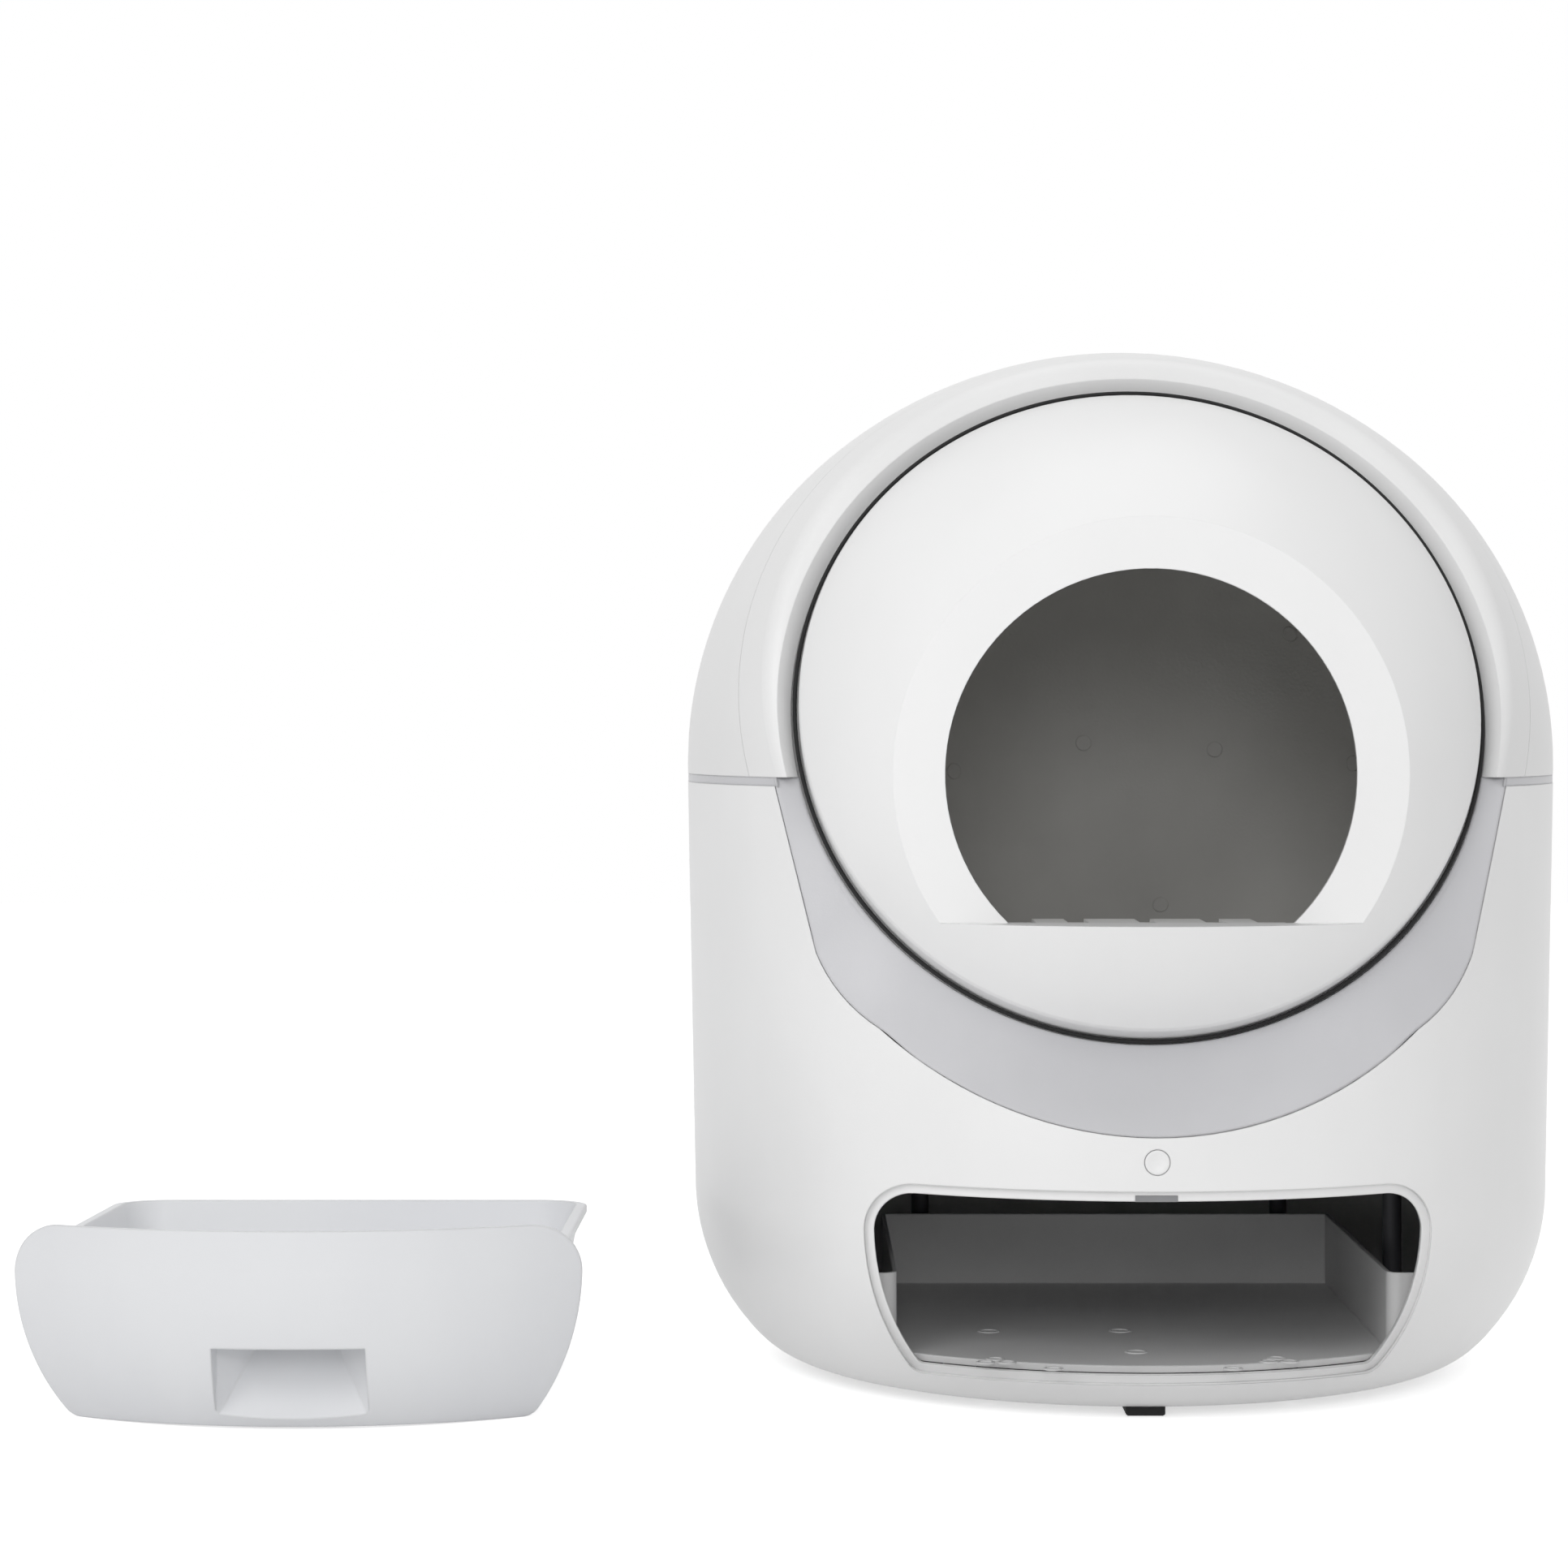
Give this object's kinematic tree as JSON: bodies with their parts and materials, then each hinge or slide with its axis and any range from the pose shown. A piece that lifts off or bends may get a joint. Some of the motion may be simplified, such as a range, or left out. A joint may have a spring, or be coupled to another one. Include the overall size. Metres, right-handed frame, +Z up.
{
  "type": "self-cleaning litter box",
  "caption": "Round self-cleaning litter box with a tilted turning drum, lift-off dome hood, grey cradle and a waste drawer taken out beside its bay",
  "frame": {"origin": "centre of the sole of the single front foot, on the floor", "axes": "+Z up, +X to the viewer's right along the row of machine and drawer, -Y is the front, the side with the entry and the bay"},
  "size_m": [0.9677, 0.5669, 0.6644],
  "materials": {
    "white_shell": "satin gloss",
    "grey_deck": "satin",
    "dark_lining": "matt",
    "black_rubber": "matt",
    "steel": "satin",
    "alloy": "satin",
    "gear_nylon": "satin",
    "frame_grey": "matt",
    "sensor_grey": "matt",
    "black_case": "matt",
    "board_green": "satin",
    "bronze": "satin"
  },
  "bodies": {
    "base": {"base_housing": "white_shell", "floor_pan": "frame_grey", "pan_screws": "steel", "front_foot": "black_rubber", "rear_feet": "black_rubber", "load_cells": "alloy", "bay_liner": "white_shell", "deck_plate": "frame_grey", "deck_posts": "frame_grey", "cradle": "grey_deck", "button_switch": "black_case", "drawer_sensor": "sensor_grey", "spindle_bush": "bronze", "drive_frame": "frame_grey", "gearbox": "black_case", "drive_motor": "steel", "control_board": "board_green", "power_socket": "black_case", "roller_pins": "steel", "roller_brackets": "frame_grey"},
    "hood": {"hood_front": "white_shell", "hood_rear": "white_shell", "latch_spring_left": "steel", "latch_spring_right": "steel"},
    "latch_left": {"hood_latch_left": "white_shell"},
    "latch_right": {"hood_latch_right": "white_shell"},
    "button": {"front_button": "white_shell"},
    "drum": {"drum_front": "white_shell", "drum_rear": "white_shell", "drum_track": "gear_nylon", "drum_lining": "dark_lining", "lining_studs": "dark_lining", "sifting_screen": "dark_lining", "entry_sill": "grey_deck", "sill_pads": "white_shell", "ring_gear": "gear_nylon", "gear_screws": "steel", "drum_spindle": "steel"},
    "pinion": {"drive_pinion": "gear_nylon", "pinion_shaft": "steel"},
    "left_roller": {"roller_left": "gear_nylon"},
    "right_roller": {"roller_right": "gear_nylon"},
    "waste_drawer": {"drawer_front": "white_shell", "drawer_basin": "white_shell"}
  },
  "joints": [
    {"name": "drum_spin", "type": "hinge", "parent": "base", "child": "drum", "pos_m": [0, 0.041, 0.4287], "axis": [0, -0.9317, 0.3633], "continuous": true},
    {"name": "pinion_spin", "type": "hinge", "parent": "base", "child": "pinion", "pos_m": [0, 0.30582, 0.2091], "axis": [0, -0.9317, 0.3633], "continuous": true},
    {"name": "left_roller_spin", "type": "hinge", "parent": "base", "child": "left_roller", "pos_m": [-0.13919, 0.00309, 0.23786], "axis": [0, -0.9317, 0.3633], "continuous": true},
    {"name": "right_roller_spin", "type": "hinge", "parent": "base", "child": "right_roller", "pos_m": [0.13919, 0.00309, 0.23786], "axis": [0, -0.9317, 0.3633], "continuous": true},
    {"name": "hood_lift", "type": "slide", "parent": "base", "child": "hood", "axis": [0, 0, 1], "range_m": [0, 0.3]},
    {"name": "left_latch_press", "type": "slide", "parent": "hood", "child": "latch_left", "axis": [1, 0, 0], "range_m": [0, 0.004], "stiffness_N_per_m": 400, "deforming": ["latch_spring_left"]},
    {"name": "right_latch_press", "type": "slide", "parent": "hood", "child": "latch_right", "axis": [-1, 0, 0], "range_m": [0, 0.004], "stiffness_N_per_m": 400, "deforming": ["latch_spring_right"]},
    {"name": "front_button_press", "type": "slide", "parent": "base", "child": "button", "axis": [0, 1, 0], "range_m": [0, 0.0014], "stiffness_N_per_m": 600},
    {"name": "drawer_slide", "type": "slide", "parent": "base", "child": "waste_drawer", "axis": [0, -1, 0], "range_m": [-0.37, 0]}
  ],
  "couplings": [
    {"joint": "pinion_spin", "follows": "drum_spin", "ratio": -5},
    {"joint": "left_roller_spin", "follows": "drum_spin", "ratio": -18.708},
    {"joint": "right_roller_spin", "follows": "drum_spin", "ratio": -18.708}
  ]
}
